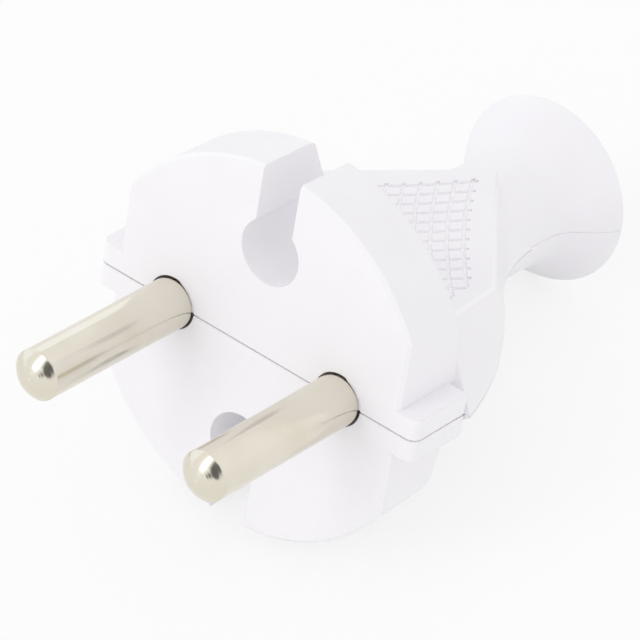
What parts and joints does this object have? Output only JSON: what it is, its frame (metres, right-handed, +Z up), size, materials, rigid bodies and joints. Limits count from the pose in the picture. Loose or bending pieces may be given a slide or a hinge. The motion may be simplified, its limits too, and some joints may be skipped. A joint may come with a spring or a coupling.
{
  "type": "electrical plug",
  "caption": "Round-pin mains plug with a keyed disc face, hatched flat grip and flared cord entry, moulded in white shells around turned contact pins.",
  "frame": {"origin": "on the table, below the middle of the plug's box as it lies", "axes": "+X across the pins, +Y from the pins towards the cord, +Z up as the plug lies on its keyway and bell"},
  "size_m": [0.0374, 0.062, 0.0365],
  "materials": {
    "shell": "satin moulded thermoset",
    "contact_pin": "turned and nickel plated",
    "screw": "zinc plated",
    "clamp_strap": "zinc plated",
    "insert": "turned"
  },
  "bodies": {
    "root": {"upper_shell": "shell", "lower_shell": "shell", "pin_left": "contact_pin", "pin_right": "contact_pin", "terminal_screw_left": "screw", "terminal_screw_right": "screw", "cord_clamp": "clamp_strap", "cord_clamp_screw_left": "screw", "cord_clamp_screw_right": "screw", "housing_screw": "screw", "housing_insert": "insert"}
  },
  "joints": []
}
